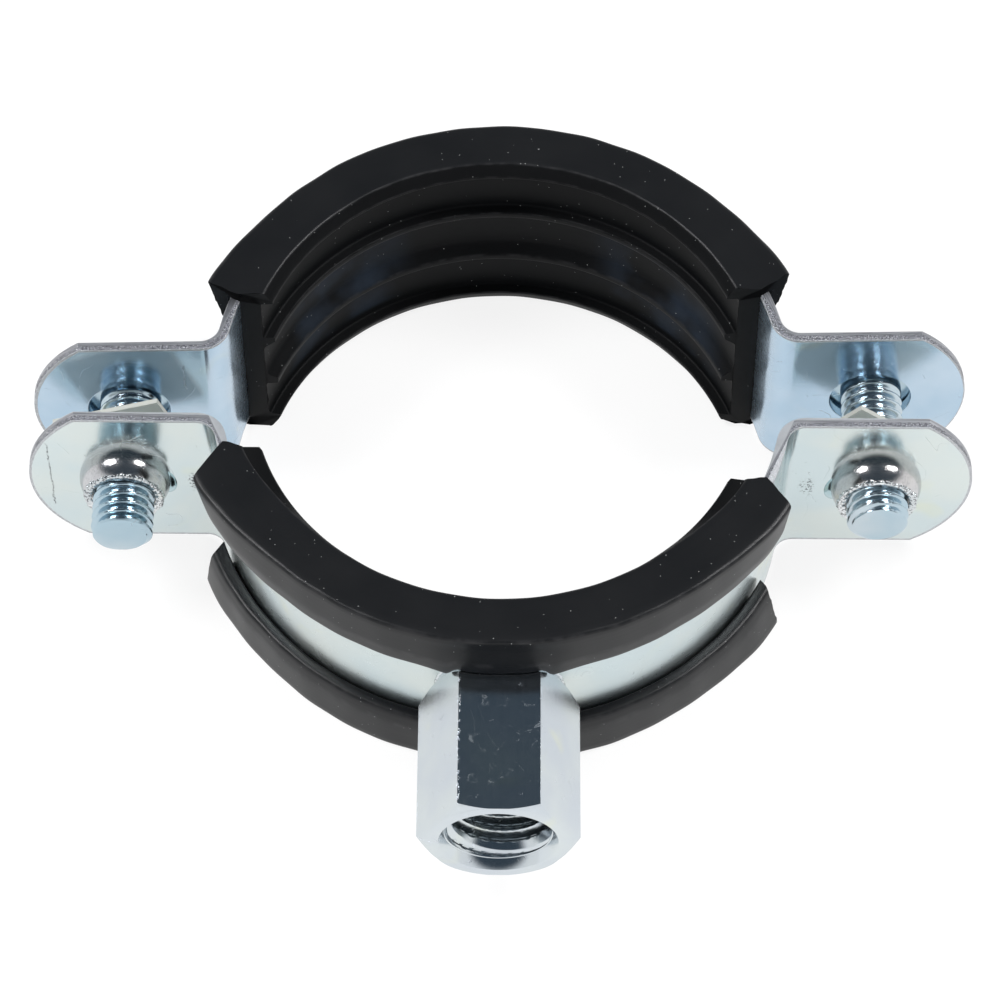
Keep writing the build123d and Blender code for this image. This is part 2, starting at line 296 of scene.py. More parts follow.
# %% Bevelled copies of the steel pieces
def bevelled_copy(node, name, body, width, segments=2, crease=30.0, wide_rim=None):
    """Merges the CAD node's loose triangles into a copy, joins those that lie in one plane and
    bevels the edges that are sharper than the crease angle. A wide rim is a round edge that
    first gets a flat countersink: the test that finds its edges, its width in mm, the inner
    edge's radius and how much deeper that edge then sinks."""
    metal = bmesh.new()
    metal.from_mesh(nodes[node].data)
    bmesh.ops.remove_doubles(metal, verts=metal.verts, dist=2e-6)
    bmesh.ops.dissolve_limit(
        metal, angle_limit=radians(0.3), verts=metal.verts, edges=metal.edges
    )
    if wide_rim:
        test, rim_width, inner_radius, sink = wide_rim
        rim = [e for e in metal.edges if all(test(v.co / mm) for v in e.verts)]
        bmesh.ops.bevel(
            metal, geom=rim, offset=rim_width * mm, offset_type="WIDTH", segments=1,
            profile=0.5, affect="EDGES", clamp_overlap=True,
        )
        for v in metal.verts:
            if sqrt(v.co.x**2 + v.co.z**2) < inner_radius * mm and v.co.y < (nut_mouth + 0.7) * mm:
                v.co.y += sink * mm
    rims = [e for e in metal.edges if len(e.link_faces) == 2
            and e.calc_face_angle(0) > radians(crease)]
    bmesh.ops.bevel(
        metal, geom=rims, offset=width * mm, offset_type="OFFSET", segments=segments,
        profile=0.5, affect="EDGES", clamp_overlap=True,
    )
    mesh = bpy.data.meshes.new(name)
    metal.to_mesh(mesh)
    metal.free()
    piece = bpy.data.objects.new(name, mesh)
    bpy.context.scene.collection.objects.link(piece)
    finish_piece(piece, body, sharp=28)
    weighted = piece.modifiers.new("flat faces stay flat", "WEIGHTED_NORMAL")
    weighted.keep_sharp = True
    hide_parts(node)
    print(f"{name}: {len(mesh.vertices)} points, {len(rims)} edges rounded")
    return piece


def keep_depth(piece, centre_y, cant):
    """Keeps how far each point lies through the sheet: 0 on the pipe's side, 1 on the outside.
    On an ear that is the distance from the parting plane less that of the ear's inner face; in
    the bend it is the bend's outer radius, 2.9, less the distance from the bend's centre; on
    the ring it is the radius less the strip's inner radius."""
    place = np.zeros(len(piece.data.vertices) * 3)
    piece.data.vertices.foreach_get("co", place)
    x, y = place.reshape(-1, 3)[:, 0] / mm, place.reshape(-1, 3)[:, 1] / mm - centre_y
    c, s = cos(radians(cant)), sin(radians(cant))
    along, away = np.abs(x * c + y * s), np.abs(y * c - x * s)
    ear = away - ear_inside
    bend = 2.9 - np.hypot(along - bend_along, away - bend_away)
    ring = np.hypot(along, away) - strip_in
    in_bend = np.where(away < bend_away / bend_along * along, bend, ring)
    paint(piece, "depth", np.clip(np.where(along > bend_along, ear, in_bend), 0, 1))


front_strip = bevelled_copy("front_band", "front_strip", "front_half", 0.09)
rear_strip = bevelled_copy("rear_band", "rear_strip", "rear_half", 0.09)
keep_depth(front_strip, 0.0, 0.0)
keep_depth(rear_strip, rear_shift, rear_cant)


def at_nut_mouth(p):
    return p.y < nut_mouth + 0.01 and abs(sqrt(p.x**2 + p.z**2) - 5.0) < 0.03


hexagon = bevelled_copy(
    "coupling_nut", "hexagon_nut", "front_half", 0.08,
    wide_rim=(at_nut_mouth, 0.72, 5.03, 0.43),
)
washers = {
    side: bevelled_copy(
        f"{side}_retaining_washer", f"{side}_square_washer", f"{side}_fastener",
        0.05,
    )
    for side in ("left", "right")
}
for piece in washers.values():
    edge = piece.data.attributes.new("edge", "FLOAT", "FACE")
    edge.data.foreach_set("value", [float(abs(f.normal.y) < 0.7) for f in piece.data.polygons])

# %% [markdown]
# ## The clamping screws
# A screw thread is a surface of revolution whose radius depends on turn as well as height: the
# same ridge, one pitch higher after each turn. So the whole screw, from its tip round
# the head to the crown, is one grid, and only the slot and the cross are cut afterwards. The
# faces inside the cut are marked, so that the screws' finish can paint shade into them.

# %% The thread's own shape
def ridge(phase, depth):
    """Depth below the crest for a phase counted in pitches: a flat crest of an eighth of
    a pitch, two straight flanks and a rounded root."""
    p = np.abs((phase % 1.0) - 0.5) * 2
    flank = np.clip((p - 0.125) / 0.75, 0, 1)
    return depth * (flank - 0.06 * np.sin(2 * pi * flank))


def screw_points(seat_y, tip_y, crown_y, turn, columns=112):
    """One row for each height along -Y. The shank's radius is 3 mm less the ridge, faded out
    under the head, and never more than the tip's cone; the head is a low dome."""
    pitch, radius, head = 1.0, 3.0, 6.0
    theta = np.linspace(0, 2 * pi, columns, endpoint=False)[None, :]
    length = seat_y - tip_y
    y = np.linspace(tip_y + 0.15, seat_y - 0.02, int(length * 15))[:, None]
    fade = np.clip((seat_y - y - 0.6) / 1.2, 0, 1)
    shank = radius - 0.02 - ridge((y / pitch) - theta / (2 * pi) + turn, 0.6) * fade
    cone = 2.52 + (y - tip_y) * 1.1
    shank = np.minimum(shank, cone)
    tip_r = np.array([0.0, 0.6, 1.2, 1.8, 2.2, 2.42])[:, None]
    tip_y_rows = tip_y + np.array([0.0, 0.006, 0.025, 0.06, 0.09, 0.11])[:, None]
    height = crown_y - seat_y
    side = 2.2
    a = np.linspace(0, pi / 2, 18)
    dome_r = np.concatenate([[3.35, 5.2, 5.85, 5.97], head - side + side * np.cos(a)])
    dome_y = np.concatenate([
        [seat_y, seat_y, seat_y + 0.02, seat_y + 0.12],
        crown_y - side + side * np.sin(a),
    ])
    dome_y[4] = max(dome_y[4], seat_y + 0.3)
    crown_r = np.array([2.6, 1.3, 0.0])
    dome_r = np.concatenate([dome_r, crown_r])[:, None]
    dome_y = np.concatenate([dome_y, np.full(3, crown_y)])[:, None]
    ones = np.ones_like(theta)
    r = np.vstack([tip_r * ones, shank, dome_r * ones])
    y = np.vstack([tip_y_rows * ones, y * ones, dome_y * ones])
    return np.stack([r * np.sin(theta), y, r * np.cos(theta)], -1)


def drive_recess(x, crown_y, turn):
    """A straight slot across the head and a cross in its middle, as one cutter of three bars:
    each bar is a box whose sides draw in towards its floor."""
    cutter = bmesh.new()
    for long, wide, deep, way in ((7.0, 0.8, 1.1, 0), (3.2, 0.95, 1.5, 0), (3.2, 0.95, 1.5, 90)):
        made = bmesh.ops.create_cube(cutter, size=2)["verts"]
        for v in made:
            taper = 0.82 if v.co.y < 0 else 1.0
            v.co = Vector((v.co.x * long * taper, v.co.y, v.co.z * wide * taper))
            v.co.y = -deep if v.co.y < 0 else 1.0
        spin = Matrix.Rotation(radians(way + turn), 4, "Y")
        bmesh.ops.transform(cutter, matrix=spin, verts=made)
    bmesh.ops.translate(cutter, vec=(x, crown_y, 0), verts=cutter.verts)
    bmesh.ops.scale(cutter, vec=(mm, mm, mm), verts=cutter.verts)
    mesh = bpy.data.meshes.new("recess")
    cutter.to_mesh(mesh)
    cutter.free()
    tool = bpy.data.objects.new("recess", mesh)
    bpy.context.scene.collection.objects.link(tool)
    return tool


def below_dome(p, x, crown_y):
    """1 for a place that lies under the head's dome, which is flat to 3.8 mm and then round."""
    out = max(sqrt((p.x - x) ** 2 + p.z**2) - 3.8, 0.0)
    dome_y = crown_y - 2.2 + sqrt(max(2.2**2 - out**2, 0.0))
    return float(crown_y - 1.6 < p.y < dome_y - 0.06)


def clamping_screw(side, x, turn):
    low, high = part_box(f"{side}_screw")
    tip_y, crown_y = low.y / mm, high.y / mm
    seat_y = crown_y - 3.0
    points = screw_points(seat_y, tip_y, crown_y, turn) + np.array([x, 0, 0])
    rows, columns = points.shape[:2]
    faces = grid_faces(rows, columns).tolist()
    name = f"{side}_clamping_screw"
    piece = new_piece(name, points * mm, faces, f"{side}_fastener", sharp=40)
    merge_poles(piece.data)
    tool = drive_recess(x, crown_y, turn * 360)
    cut = piece.modifiers.new("drive", "BOOLEAN")
    cut.object, cut.operation, cut.solver, cut.use_self = tool, "DIFFERENCE", "EXACT", True
    bpy.context.view_layer.update()
    graph = bpy.context.evaluated_depsgraph_get()
    cut_mesh = bpy.data.meshes.new_from_object(piece.evaluated_get(graph))
    piece.modifiers.clear()
    piece.data = cut_mesh
    piece.data.shade_smooth()
    piece.data.set_sharp_from_angle(angle=radians(40))
    # Faces under the dome, inside the cut, are marked for painted shade.
    inside = piece.data.attributes.new("recess", "FLOAT", "FACE")
    inside.data.foreach_set("value", [below_dome(f.center / mm, x, crown_y)
                                      for f in piece.data.polygons])
    bpy.data.objects.remove(tool)
    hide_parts(f"{side}_screw")
    print(f"{name}: {len(cut_mesh.vertices)} points after its recess was cut")
    return piece


def merge_poles(mesh):
    """A pole is a row of points in one place: they become one point."""
    shell = bmesh.new()
    shell.from_mesh(mesh)
    bmesh.ops.remove_doubles(shell, verts=shell.verts, dist=1e-6)
    bmesh.ops.recalc_face_normals(shell, faces=shell.faces)
    shell.to_mesh(mesh)
    shell.free()


left_screw = clamping_screw("left", -screw_x, 0.15)
right_screw = clamping_screw("right", screw_x, 0.6)

# %% [markdown]
# ## The burr on each collar
# The threaded collars are not welded on: a punch draws them out of the ear, which thins their rim
# and tears it. The torn rim is a flat ring with fine teeth all round, like the edge of a coin
# that was hammered. Below it the collar is domed, because the steel was stretched over the
# punch. Beside each collar, towards the ring, the same blow raised a low smooth lump.

# %% The torn rims and the lumps
def torn_rim(name, body, x, y, seed, rows=420, columns=16):
    """A ring round an axis along Y. The section is a flat ellipse, about 0.36 by 0.15 mm each
    way from its middle, whose outer side carries teeth: the power 0.6 of a sine that beats
    58 times, of uneven height."""
    a = np.linspace(0, 2 * pi, rows, endpoint=False)[:, None]
    b = np.linspace(0, 2 * pi, columns, endpoint=False)[None, :]
    uneven = ripple(a * 5 + seed, a * 13 + 2 * seed, a * 29 + 3 * seed)
    beat = 29 * a + 1.3 * np.sin(a * 3 + seed) + 0.9 * np.sin(a * 7 + 2 * seed)
    teeth = np.abs(np.sin(beat)) ** 0.6 * (0.75 + 0.5 * uneven)
    outside = np.clip(np.cos(b), 0, 1)
    wide = 0.36 + 0.05 * uneven
    r = 3.42 + 0.05 * ripple(a * 3 + seed, a * 11) + wide * np.cos(b) + 0.17 * teeth * outside
    r = np.maximum(r, 3.05)
    tall = 0.15 + 0.05 * uneven + 0.10 * teeth * np.clip(np.cos(b) + 0.4, 0, 1)
    out = tall * np.sin(b) - 0.10 * outside * teeth
    points = np.stack([x + r * np.sin(a), y - out + 0 * a, r * np.cos(a)], -1)
    return new_piece(name, points * mm, grid_faces(rows, columns, wrap_rows=True).tolist(),
                     body, sharp=35)


def drawn_collar(name, x, rows=110, columns=40):
    """The collar's skin round an axis along Y, as a closed ring. The outer side leaves the ear at
    radius 4.4, and runs in to 3.42 at the rim: radius = 3.42 + 0.98 (1 - t^2.2) for a share t
    of the height. The inner side is a plain wall at radius 3.2."""
    a = np.linspace(0, 2 * pi, rows, endpoint=False)[:, None]
    t = np.linspace(0, 1, columns - 2)[None, :]
    outer = 3.42 + 0.98 * (1 - t**2.2)
    r = np.hstack([outer, [[3.2, 3.2]]])
    out = np.hstack([-0.04 + 2.22 * t, [[2.18, -0.04]]])
    r = r + 0.012 * ripple(a * 3, a * 8 + x)
    points = np.stack([x + r * np.sin(a), ear_front - out + 0 * a, r * np.cos(a)], -1)
    return new_piece(name, points * mm, grid_faces(rows, columns, wrap_rows=True).tolist(),
                     "front_half", sharp=45)


def draw_in_collars(piece):
    """Draws the strip's own collars in to radius 3.3 at most, under the new skin."""
    count = len(piece.data.vertices)
    place = np.zeros(count * 3)
    piece.data.vertices.foreach_get("co", place)
    place = place.reshape(-1, 3)
    side = np.sign(place[:, 0]) * screw_x * mm
    dx, dz = place[:, 0] - side, place[:, 2]
    r = np.hypot(dx, dz)
    grip = (place[:, 1] < (ear_front - 0.05) * mm) & (r > 3.3 * mm) & (r < 4.6 * mm)
    scale = np.where(grip, 3.3 * mm / np.maximum(r, 1e-9), 1.0)
    place[:, 0], place[:, 2] = side + dx * scale, dz * scale
    piece.data.vertices.foreach_set("co", place.ravel())
    piece.data.update()


def pressed_lump(name, x, z, rows=18, columns=48):
    """A low dome on the ear's front face. Its outline is an ellipse of
    0.95 by 1.9 mm; its height is 0.5 mm times a power of the cosine of the way out to it."""
    out = np.linspace(0, 1, rows)[:, None]
    a = np.linspace(0, 2 * pi, columns, endpoint=False)[None, :]
    height = 0.50 * np.cos(out * pi / 2) ** 0.75 - 0.02
    px = x + 0.95 * out * np.cos(a) * (1 - 0.15 * np.sin(a))
    pz = z + 1.9 * out * np.sin(a)
    points = np.stack([px, ear_front - height + 0 * a, pz], -1)
    faces = grid_faces(rows, columns).tolist()
    faces += [list(range((rows - 1) * columns, rows * columns))]
    lump = new_piece(name, points * mm, faces, "front_half", sharp=60)
    merge_poles(lump.data)
    return lump


draw_in_collars(front_strip)
left_collar = drawn_collar("left_drawn_collar", -screw_x)
right_collar = drawn_collar("right_drawn_collar", screw_x)
collar_top = ear_front - 2.2
left_rim = torn_rim("left_collar_rim", "front_half", -screw_x, collar_top, 0.7)
right_rim = torn_rim("right_collar_rim", "front_half", screw_x, collar_top, 2.3)
left_lump = pressed_lump("left_pressed_lump", -32.25, -0.5)
right_lump = pressed_lump("right_pressed_lump", 32.25, -0.7)

# %% [markdown]
# ## Threads and weld of the coupling nut
# The nut is tapped twice: a large thread from the mouth, and a smaller one behind it, so that
# it takes two sizes of rod. The thread is the screw's formula turned inside out, a skin that lines
# the bore. At its foot the nut is joined to the strip by projection welding, which leaves a thin
# uneven line of squeezed metal.

# %% The tapped bore
def tapped_bore(columns=132):
    """Radius against depth from the foot of the countersink: a narrow shelf, the large thread, a
    drill's cone, and the small thread to the strip. A groove moves one pitch in each turn."""
    start = nut_mouth + 0.93
    theta = np.linspace(0, 2 * pi, columns, endpoint=False)[None, :]
    depth = np.concatenate([np.linspace(0.0, 6.98, 120), np.linspace(7.04, 14.78, 110)])[:, None]
    turns = theta / (2 * pi)
    large_root, large_pitch, large_height = 4.97, 1.5, 0.80
    small_root, small_pitch, small_height = 3.97, 1.25, 0.66
    large = large_root - large_height + ridge_inside(depth / large_pitch + turns, large_height)
    small = small_root - small_height + ridge_inside(depth / small_pitch + turns, small_height)
    shelf = np.interp(depth, [0.0, 0.03, 0.2, 1.5], [5.03, 4.92, 4.85, 4.17])
    step = 4.2 - (depth - 6.58) * 1.4
    r = np.where(depth < 6.68, large, np.maximum(np.minimum(large, step), small))
    r = np.where(depth > 7.01, small, r)
    r = np.where(depth < 0.06, shelf, np.minimum(np.maximum(r, shelf), 4.985))
    y = start + depth + 0 * theta
    return np.stack([r * np.cos(theta), y, r * np.sin(theta)], -1)


def ridge_inside(phase, depth):
    """How far the groove of a tapped thread reaches beyond its crest, by phase in pitches."""
    p = np.abs((phase % 1.0) - 0.5) * 2
    flank = np.clip((p - 0.22) / 0.66, 0, 1)
    return depth * flank


bore_points = tapped_bore()
bore_faces = grid_faces(*bore_points.shape[:2]).tolist()
bore = new_piece("nut_threads", bore_points * mm, bore_faces, "front_half",
                 sharp=45, closed=False)
inward = bore.data.polygons[0]
toward_axis = -Vector((inward.center.x, 0, inward.center.z)).dot(inward.normal)
if toward_axis < 0:
    bore.data.flip_normals()
print("thread faces look towards the axis:", toward_axis > 0)

# %% The weld line
def weld_line(rows=240, columns=12):
    """A ring on the strip's outer face, at radius 5.9 mm from the nut's axis. A point there
    has y = -sqrt(R^2 - x^2) with R = 27.6. The section is a half-sunk circle of uneven size."""
    a = np.linspace(0, 2 * pi, rows, endpoint=False)[:, None]
    b = np.linspace(0, 2 * pi, columns, endpoint=False)[None, :]
    lumps = ripple(a * 5 + 1, a * 13 + 2, a * 29)
    size = 0.19 + 0.06 * lumps + 0.04 * ripple(a * 47 + 2 * b, a * 61)
    radius = 5.90 + 0.05 * ripple(a * 9, a * 21 + 1) + size * np.cos(b)
    x, z = radius * np.cos(a), radius * np.sin(a)
    y = -np.sqrt(strip_out**2 - x**2) + 0.02 - size * 0.8 * np.sin(b)
    return np.stack([x, y, z], -1)


weld_points = weld_line()
weld = new_piece("weld_line", weld_points * mm,
                 grid_faces(*weld_points.shape[:2], wrap_rows=True).tolist(),
                 "front_half", sharp=40)

# %% [markdown]
# ## Shader maths as Python
# A material is a small program made of nodes. Writing it as wires and boxes hides the sums, so
# a small class stands for one output, and adding or multiplying two of them adds the Math node
# that does it. One method makes every other node.

# %% A wire and a finish
class Wire:
    """One output of a node. Arithmetic on numbers becomes Math nodes."""

    def __init__(self, finish, socket):
        self.finish, self.socket = finish, socket

    def sum(self, operation, first, second):
        return self.finish.node("ShaderNodeMath", {"operation": operation}, first, second)

    def __add__(self, other):
        return self.sum("ADD", self, other)

    def __sub__(self, other):
        return self.sum("SUBTRACT", self, other)

    def __rsub__(self, other):
        return self.sum("SUBTRACT", other, self)

    def __mul__(self, other):
        return self.sum("MULTIPLY", self, other)

    def __pow__(self, other):
        return self.sum("POWER", self, other)

    def __abs__(self):
        return self.sum("ABSOLUTE", self, None)

    def least(self, other):
        return self.sum("MINIMUM", self, other)

    def most(self, other):
        return self.sum("MAXIMUM", self, other)

    def hypot(self, other):
        return (self * self + other * other) ** 0.5

    def __gt__(self, other):
        return self.sum("GREATER_THAN", self, other)

    def __lt__(self, other):
        return self.sum("LESS_THAN", self, other)

    __radd__, __rmul__ = __add__, __mul__


class Finish:
    """A material or a world, and the nodes that its recipe adds."""

    def __init__(self, name, world=None):
        self.material = world or bpy.data.materials.new(name)
        self.material.use_nodes = True
        self.tree = self.material.node_tree
        self.shader = self.tree.nodes.get("Principled BSDF")

    def node(self, kind, settings=None, *values, output=0, **named):
        """Adds a node, applies its settings, then fills its sockets in order or by name."""
        box = self.tree.nodes.new(kind)
        for key, value in (settings or {}).items():
            setattr(box, key, value)
        given = {**dict(enumerate(values)), **{k.replace("_", " "): v for k, v in named.items()}}
        for key, value in given.items():
            if value is not None:
                self.fill(box.inputs[key], value)
        return Wire(self, box.outputs[output])

    def fill(self, socket, value):
        if isinstance(value, Wire):
            self.tree.links.new(value.socket, socket)
        elif isinstance(value, tuple) and socket.type == "RGBA":
            socket.default_value = (*value, 1)
        else:
            socket.default_value = value

    def spots(self, scale=(1, 1, 1)):
        """Object coordinates in millimetres, stretched by a factor along each axis."""
        place = self.node("ShaderNodeTexCoord", output="Object")
        factor = tuple(s * 1000 for s in scale)
        return self.node("ShaderNodeVectorMath", {"operation": "MULTIPLY"}, place, factor)

    def parts(self, place):
        """The three numbers of a place."""
        box = self.node("ShaderNodeSeparateXYZ", None, place).socket.node
        return [Wire(self, box.outputs[axis]) for axis in "XYZ"]

    def noise(self, place, scale, detail=3.0, roughness=0.5, distortion=0.0):
        return self.node(
            "ShaderNodeTexNoise", None, Vector=place, Scale=scale, Detail=detail,
            Roughness=roughness, Distortion=distortion,
        )

    def cells(self, place, scale, feature="F1", output="Distance"):
        return self.node(
            "ShaderNodeTexVoronoi", {"feature": feature}, Vector=place, Scale=scale,
            output=output,
        )

    def band(self, value, low, high):
        """0 below low, 1 above high and a smooth climb between."""
        return self.node(
            "ShaderNodeMapRange", {"interpolation_type": "SMOOTHSTEP"}, value, low, high, 0.0, 1.0
        )

    def blend(self, share, first, second):
        """A colour between two, by Mix."""
        box = self.tree.nodes.new("ShaderNodeMix")
        box.data_type = "RGBA"
        self.fill(box.inputs[0], share)
        self.fill(box.inputs[6], first)
        self.fill(box.inputs[7], second)
        return Wire(self, box.outputs[2])

    def kept(self, name):
        """A number that the mesh keeps for each point or face."""
        return self.node("ShaderNodeAttribute", {"attribute_name": name}, output="Fac")

    def rays(self, *kinds):
        """One wire for each kind of ray: 1 when such a ray asks for the colour."""
        path = self.node("ShaderNodeLightPath").socket.node
        return [Wire(self, path.outputs[f"Is {kind} Ray"]) for kind in kinds]

    def bump(self, height, strength, distance):
        return self.node(
            "ShaderNodeBump", None, Strength=strength, Distance=distance * mm, Height=height
        )

    def surface(self, **sockets):
        for key, value in sockets.items():
            self.fill(self.shader.inputs[key.replace("_", " ")], value)
        return self.material


print("shader helpers ready")

# %% [markdown]
# ## Rubber
# The lining is a black elastomer, and almost all that is seen of it is the faint shine on it. Its
# skin keeps lines from the die, all running round the ring, and a patchy bloom that makes it
# smoother here and duller there. Dust shows as tiny pale specks in loose groups. The outward
# corners carry a painted highlight, a little paler than the flats. A nearly black colour and an
# honest shine do the rest:
# skins that face the table turn grey by themselves. The bore's side and the fresh cuts are
# duller still and their colour is darker as painted shade, and patches in the rear bore's grooves
# carry a painted bluish reflection; so they get their own version of the same recipe.

# %% Black rubber
def rubber_finish(name, dark, pale, shine, rough, painted_sheen):
    f = Finish(name)
    spots = f.spots()
    along, across = f.kept("along"), f.kept("round")
    skin = f.node("ShaderNodeCombineXYZ", None, along * 60.0, across * 2600.0, 0.0)
    die_lines = f.noise(skin, 1.0, 4.0, 0.6)
    bloom = f.noise(spots, 0.16, 3.0, 0.5)
    grain = f.noise(spots, 7.0, 4.0, 0.6)
    colour = f.blend(bloom, dark, pale)
    # Painted reflection: bluish patches in the grooves of the rear bore, between the ribs.
    if painted_sheen:
        x, y, z = f.parts(spots)
        patch = f.band(abs(x), 8.0, 14.0) * (1 - f.band(abs(x), 19.0, 22.5)) * (y > 0.0)
        low = f.band(-1.0 * z, 5.0, 5.8) * (1 - f.band(-1.0 * z, 8.2, 9.0)) * 0.8
        groove = (1 - f.band(abs(z), 2.9, 3.6)).most(low)
        colour = f.blend(patch * groove * f.band(bloom, 0.36, 0.66), colour, painted_sheen)
    # Painted highlight: the outward corners are painted paler where a noise allows.
    corner = f.kept("crown") * f.band(f.noise(spots, 0.7), 0.38, 0.62)
    colour = f.blend(corner * 0.4, colour, (0.030, 0.030, 0.032))
    near = f.cells(spots, 1.7)
    lucky = f.node("ShaderNodeSeparateColor", None, f.cells(spots, 1.7, output="Color"))
    group = f.band(f.noise(spots, 0.13, 2.0, 0.6), 0.46, 0.60)
    dust = (near < 0.075) * (lucky > 0.82 - group * 0.35)
    colour = f.blend(dust * 0.7, colour, (0.34, 0.35, 0.35))
    roughness = rough + bloom * 0.12 + die_lines * 0.05 + grain * 0.03
    relief = die_lines * 0.35 + grain * 0.25 + dust * 0.8
    return f.surface(
        Base_Color=colour, Roughness=roughness, Normal=f.bump(relief, 0.25, 0.04),
        Specular_IOR_Level=shine,
    )


rubber = rubber_finish(
    "black_rubber", (0.0042, 0.0048, 0.0058), (0.0066, 0.0070, 0.0080), 0.22, 0.27, None
)
# The dull copy's darker colour is painted shade for the bore's side and the cuts; its duller shine
# is the finish.
dull_shaded_rubber = rubber_finish(
    "black_rubber_dull_shaded", (0.0022, 0.0025, 0.0030), (0.0050, 0.0054, 0.0060), 0.09, 0.42,
    (0.013, 0.019, 0.029),
)
for piece in (front_rubber, rear_rubber):
    piece.data.materials.append(rubber)
    piece.data.materials.append(dull_shaded_rubber)
print("rubber: two finishes on each of 2 profiles")

# %% [markdown]
# ## Zinc
# The steel is electroplated with a few thousandths of a millimetre of zinc and passivated, which
# leaves it pale, faintly blue or green and nearly as bright as a mirror, so what it looks like
# is mostly what stands around it. The plating follows every scratch under it. One recipe makes
# the plated skin, and each part then adds what is its own.

# %% The plated skin
def plated(name, pale, deep, rough, drawn, marks):
    """The wires of a plated skin: colour, roughness and relief, with the finish itself."""
    f = Finish(name)
    spots = f.spots()
    cloud = f.noise(spots, 0.11, 3.0, 0.5)
    colour = f.blend(f.band(cloud, 0.35, 0.65), pale, deep)
    tint = f.band(f.noise(spots, 0.16, 2.0, 0.5, 0.8), 0.60, 0.80)
    colour = f.blend(tint * 0.45, colour, (0.70, 0.73, 0.56))
    mottle = f.noise(spots, 0.9, 5.0, 0.65)
    lines = f.noise(f.spots(drawn), 1.0, 5.0, 0.7)
    level = f.noise(f.spots((1.0, 0.5, 0.7)), 0.23, 1.0, 0.4, 0.6)
    scratch = (1 - f.band(abs(level - 0.5), 0.0006, 0.0022)) * f.band(
        f.noise(spots, 0.42, 2.0, 0.5, 1.0), 0.50, 0.56) * marks
    stain = f.band(f.noise(spots, 0.5, 6.0, 0.75), 0.68, 0.74) * f.band(
        f.noise(spots, 3.1, 3.0, 0.6), 0.50, 0.62) * marks
    colour = f.blend(stain * 0.6, colour, (0.13, 0.15, 0.16))
    colour = f.blend(scratch * 0.4, colour, (0.34, 0.38, 0.40))
    roughness = rough + mottle * 0.05 + lines * 0.06 + stain * 0.3 + scratch * 0.25
    relief = mottle * 0.10 + lines * 0.22 - scratch * 0.5 - stain * 0.4
    return f, spots, colour, roughness, relief


# %% [markdown]
# A sheared edge has two bands: where the blade went in the steel is smeared smooth, with lines
# along the strip, and where it broke away it is torn and dark, with white points painted on as
# glints, a painted highlight. A painted highlight also runs as a pale line along both arrises of
# the edge. The depth that each point of the strip keeps tells which band it lies in, and the
# distance to the outline
# tells edge from face: 10 mm less the height, or on an ear's round end 12.5 mm less the distance
# from the middle of its arc. The collars are drawn bright by the punch.

# %% Zinc on the strips
def strip_finish(name, pale, deep, rough, torn_outside, line):
    f, spots, colour, roughness, relief = plated(
        name, pale, deep, rough, drawn=(0.25, 0.25, 7.0), marks=0.7
    )
    x, y, z = f.parts(spots)
    gap = (10.0 - abs(z)).least(12.5 - (abs(x) - 33.0).most(0.0).hypot(z))
    wander = f.noise(spots, 1.3, 3.0, 0.6)
    grain = f.noise(spots, 5.5, 5.0, 0.8)
    edge = 1 - f.band(gap + wander * 0.10, 0.27, 0.33)
    depth = f.kept("depth")
    away = depth if torn_outside else 1 - depth
    torn = f.band(away + wander * 0.35, 0.60, 0.68)
    streak = f.node("ShaderNodeCombineXYZ", None, x * 0.15, y * 0.15, depth * 12.0 + z * 1.5)
    lines = f.noise(streak, 1.0, 4.0, 0.7)
    smeared = f.blend(f.band(lines, 0.35, 0.65), (0.16, 0.165, 0.18), (0.50, 0.51, 0.54))
    broken = f.blend(f.band(grain, 0.38, 0.62), (0.03, 0.03, 0.04), (0.38, 0.39, 0.43))
    # Painted glints: white points on the torn band, painted highlights.
    painted_glint = f.band(f.noise(spots, 9.0, 2.0, 0.5), 0.60, 0.66)
    broken = f.blend(painted_glint, broken, (0.95, 0.96, 0.98))
    # Painted highlight: a pale line along both arrises of the sheared edge.
    rim = 1 - f.band(depth.least(1 - depth), 0.03, 0.07)
    cut = f.blend(torn, smeared, broken)
    cut = f.blend(rim * 0.6, cut, (0.74, 0.76, 0.78))
    colour = f.blend(edge, colour, cut)
    on_ring = 1 - f.band(abs(x), 26.0, 28.5)
    roughness = roughness + edge * (0.34 + torn * 0.06) + on_ring * (1 - edge) * 0.13
    scored = f.band(abs(x - line[0] + (wander - 0.5) * 0.6), 0.03, 0.09)
    mark = (1 - scored) * (z > line[1]) * (z < line[2]) * f.band(grain, 0.40, 0.55)
    if torn_outside:
        to_smudge = (abs(x) - 29.6).hypot((z + 0.4) * 0.5)
        smudge = 1 - f.band(to_smudge, 0.3, 1.0)
        mark = mark.most(smudge * f.band(f.noise(spots, 3.6, 4.0, 0.7), 0.52, 0.58))
    colour = f.blend(mark * 0.85, colour, (0.07, 0.075, 0.08))
    roughness = roughness + mark * 0.2
    if torn_outside:
        collar = 1 - f.band((abs(x) - screw_x).hypot(z), 4.3, 4.5)
        collar = collar * (1 - edge) * (y < -4.3)
        colour = f.blend(collar * 0.8, colour, (0.60, 0.58, 0.57))
        roughness = f.node("ShaderNodeMapRange", None, collar, 0.0, 1.0, roughness, 0.10)
    relief = relief * (1 - edge) + edge * (lines * 0.8 * (1 - torn) + grain * 3.0 * torn)
    bump = f.bump(relief - mark * 0.6, 0.35, 0.05)
    return f.surface(Base_Color=colour, Roughness=roughness, Normal=bump, Metallic=1.0)


strip_zinc = strip_finish(
    "zinc_strip", (0.66, 0.72, 0.705), (0.60, 0.69, 0.71), 0.10, True, (-43.38, -4.6, 6.0)
)
rear_zinc = strip_finish(
    "zinc_strip_rear", (0.53, 0.65, 0.76), (0.44, 0.58, 0.71), 0.09, False, (-30.6, 3.4, 7.3)
)
front_strip.data.materials.append(strip_zinc)
rear_strip.data.materials.append(rear_zinc)
print("zinc on 2 strips")
